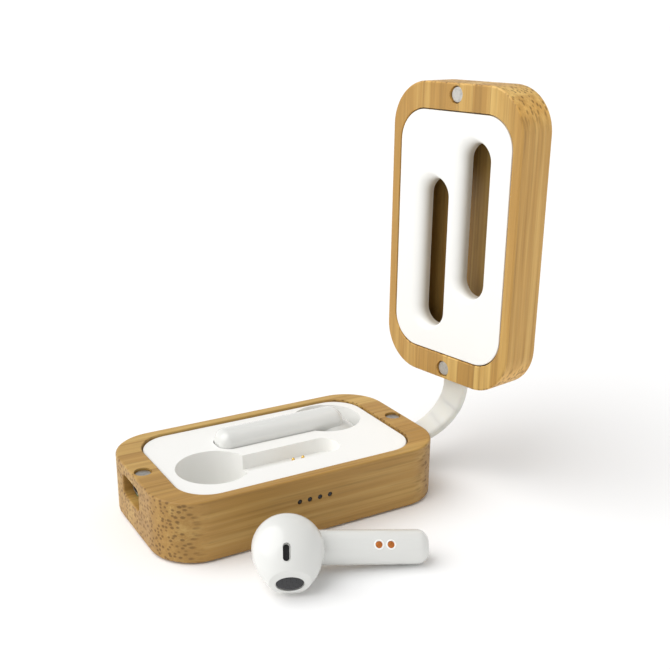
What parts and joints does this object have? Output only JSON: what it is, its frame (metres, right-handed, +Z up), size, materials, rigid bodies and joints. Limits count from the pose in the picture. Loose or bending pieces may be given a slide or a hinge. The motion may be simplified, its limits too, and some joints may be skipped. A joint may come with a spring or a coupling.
{
  "type": "wireless earbuds case",
  "caption": "Open wooden charging case with a white tray, a soft strap to its upright lid, one earbud in its well and one lying in front.",
  "frame": {"origin": "centre of the base's underside", "axes": "+Z up, +X towards the strap end, +Y away from the charge lights"},
  "size_m": [0.1043, 0.0724, 0.1078],
  "materials": {
    "base_shell": "oiled bamboo",
    "base_tray": "satin white",
    "base_magnet_left": "plated",
    "base_magnet_right": "plated",
    "battery_cell": "matt foil",
    "main_board": "green circuit board",
    "charge_chip": "black",
    "lid_sensor": "black",
    "port_board": "green circuit board",
    "port_shell": "satin",
    "port_tongue": "black",
    "light_board": "green circuit board",
    "charge_light_1": "black",
    "charge_light_2": "black",
    "charge_light_3": "black",
    "charge_light_4": "black",
    "contact_block_front": "black",
    "contact_block_back": "black",
    "contact_barrel_front_1": "gold plated",
    "contact_barrel_front_2": "gold plated",
    "contact_barrel_back_1": "gold plated",
    "contact_barrel_back_2": "gold plated",
    "strap_base_end": "frosted silicone",
    "strap_link_1": "frosted silicone",
    "strap_link_2": "frosted silicone",
    "strap_link_3": "frosted silicone",
    "lid_shell": "oiled bamboo",
    "lid_plate": "satin white",
    "lid_magnet_left": "plated",
    "lid_magnet_right": "plated",
    "strap_lid_end": "frosted silicone",
    "stem_seated": "glossy white",
    "head_seated": "glossy white",
    "grille_seated": "black mesh",
    "vent_mesh_seated": "black",
    "bud_contact_seated_1": "copper coloured",
    "bud_contact_seated_2": "copper coloured",
    "speaker_seated": "satin",
    "bud_cell_seated": "satin",
    "bud_board_seated": "green circuit board",
    "stem_loose": "glossy white",
    "head_loose": "glossy white",
    "grille_loose": "black mesh",
    "vent_mesh_loose": "black",
    "bud_contact_loose_1": "copper coloured",
    "bud_contact_loose_2": "copper coloured",
    "speaker_loose": "satin",
    "bud_cell_loose": "satin",
    "bud_board_loose": "green circuit board",
    "contact_pin_front_1": "gold plated",
    "contact_pin_front_2": "gold plated",
    "contact_pin_back_1": "gold plated",
    "contact_pin_back_2": "gold plated"
  },
  "bodies": {
    "base": {"base_shell": "base_shell", "base_tray": "base_tray", "base_magnet_left": "base_magnet_left", "base_magnet_right": "base_magnet_right", "battery_cell": "battery_cell", "main_board": "main_board", "charge_chip": "charge_chip", "lid_sensor": "lid_sensor", "port_board": "port_board", "port_shell": "port_shell", "port_tongue": "port_tongue", "light_board": "light_board", "charge_light_1": "charge_light_1", "charge_light_2": "charge_light_2", "charge_light_3": "charge_light_3", "charge_light_4": "charge_light_4", "contact_block_front": "contact_block_front", "contact_block_back": "contact_block_back", "contact_barrel_front_1": "contact_barrel_front_1", "contact_barrel_front_2": "contact_barrel_front_2", "contact_barrel_back_1": "contact_barrel_back_1", "contact_barrel_back_2": "contact_barrel_back_2", "strap_base_end": "strap_base_end"},
    "strap_link_1": {"strap_link_1": "strap_link_1"},
    "strap_link_2": {"strap_link_2": "strap_link_2"},
    "strap_link_3": {"strap_link_3": "strap_link_3"},
    "lid": {"lid_shell": "lid_shell", "lid_plate": "lid_plate", "lid_magnet_left": "lid_magnet_left", "lid_magnet_right": "lid_magnet_right", "strap_lid_end": "strap_lid_end"},
    "seated_bud": {"stem_seated": "stem_seated", "head_seated": "head_seated", "grille_seated": "grille_seated", "vent_mesh_seated": "vent_mesh_seated", "bud_contact_seated_1": "bud_contact_seated_1", "bud_contact_seated_2": "bud_contact_seated_2", "speaker_seated": "speaker_seated", "bud_cell_seated": "bud_cell_seated", "bud_board_seated": "bud_board_seated"},
    "loose_bud": {"stem_loose": "stem_loose", "head_loose": "head_loose", "grille_loose": "grille_loose", "vent_mesh_loose": "vent_mesh_loose", "bud_contact_loose_1": "bud_contact_loose_1", "bud_contact_loose_2": "bud_contact_loose_2", "speaker_loose": "speaker_loose", "bud_cell_loose": "bud_cell_loose", "bud_board_loose": "bud_board_loose"},
    "contact_pin_front_1": {"contact_pin_front_1": "contact_pin_front_1"},
    "contact_pin_front_2": {"contact_pin_front_2": "contact_pin_front_2"},
    "contact_pin_back_1": {"contact_pin_back_1": "contact_pin_back_1"},
    "contact_pin_back_2": {"contact_pin_back_2": "contact_pin_back_2"}
  },
  "joints": [
    {"name": "strap_hinge_1", "type": "hinge", "parent": "base", "child": "strap_link_1", "pos_m": [0.043, 0, 0.0081], "axis": [0.4843, 0.0698, -0.8721], "range_deg": [-16.26, 4.17]},
    {"name": "strap_hinge_2", "type": "hinge", "parent": "strap_link_1", "child": "strap_link_2", "pos_m": [0.04874, -0.00183, 0.01073], "axis": [0.4231, 0.8269, 0.3703], "range_deg": [-30.59, 7.83]},
    {"name": "strap_hinge_3", "type": "hinge", "parent": "strap_link_2", "child": "strap_link_3", "pos_m": [0.05288, -0.00377, 0.01545], "axis": [0.0804, 0.8061, 0.5863], "range_deg": [-31.3, 8.01]},
    {"name": "strap_hinge_4", "type": "hinge", "parent": "strap_link_3", "child": "lid", "pos_m": [0.05475, -0.0055, 0.0215], "axis": [-0.5079, 0.8069, 0.3016], "range_deg": [-39.17, 10]},
    {"name": "seated_bud_lift", "type": "slide", "parent": "base", "child": "seated_bud", "axis": [0, 0, 1], "range_m": [0, 0.035]},
    {"name": "loose_bud_lift", "type": "slide", "parent": "base", "child": "loose_bud", "axis": [0, 0, 1], "range_m": [0, 0.05]},
    {"name": "contact_pin_front_1_press", "type": "slide", "parent": "base", "child": "contact_pin_front_1", "axis": [0, 0, 1], "range_m": [-0.0016, 0], "stiffness_N_per_m": 150, "springref_m": 0.0005},
    {"name": "contact_pin_front_2_press", "type": "slide", "parent": "base", "child": "contact_pin_front_2", "axis": [0, 0, 1], "range_m": [-0.0016, 0], "stiffness_N_per_m": 150, "springref_m": 0.0005},
    {"name": "contact_pin_back_1_press", "type": "slide", "parent": "base", "child": "contact_pin_back_1", "axis": [0, 0, 1], "range_m": [-0.0005, 0], "stiffness_N_per_m": 150, "springref_m": 0.0005},
    {"name": "contact_pin_back_2_press", "type": "slide", "parent": "base", "child": "contact_pin_back_2", "axis": [0, 0, 1], "range_m": [-0.0005, 0], "stiffness_N_per_m": 150, "springref_m": 0.0005}
  ],
  "couplings": [
    {"joint": "strap_hinge_1", "follows": "strap_hinge_4", "ratio": 0.41462},
    {"joint": "strap_hinge_2", "follows": "strap_hinge_4", "ratio": 0.78058},
    {"joint": "strap_hinge_3", "follows": "strap_hinge_4", "ratio": 0.79874}
  ]
}
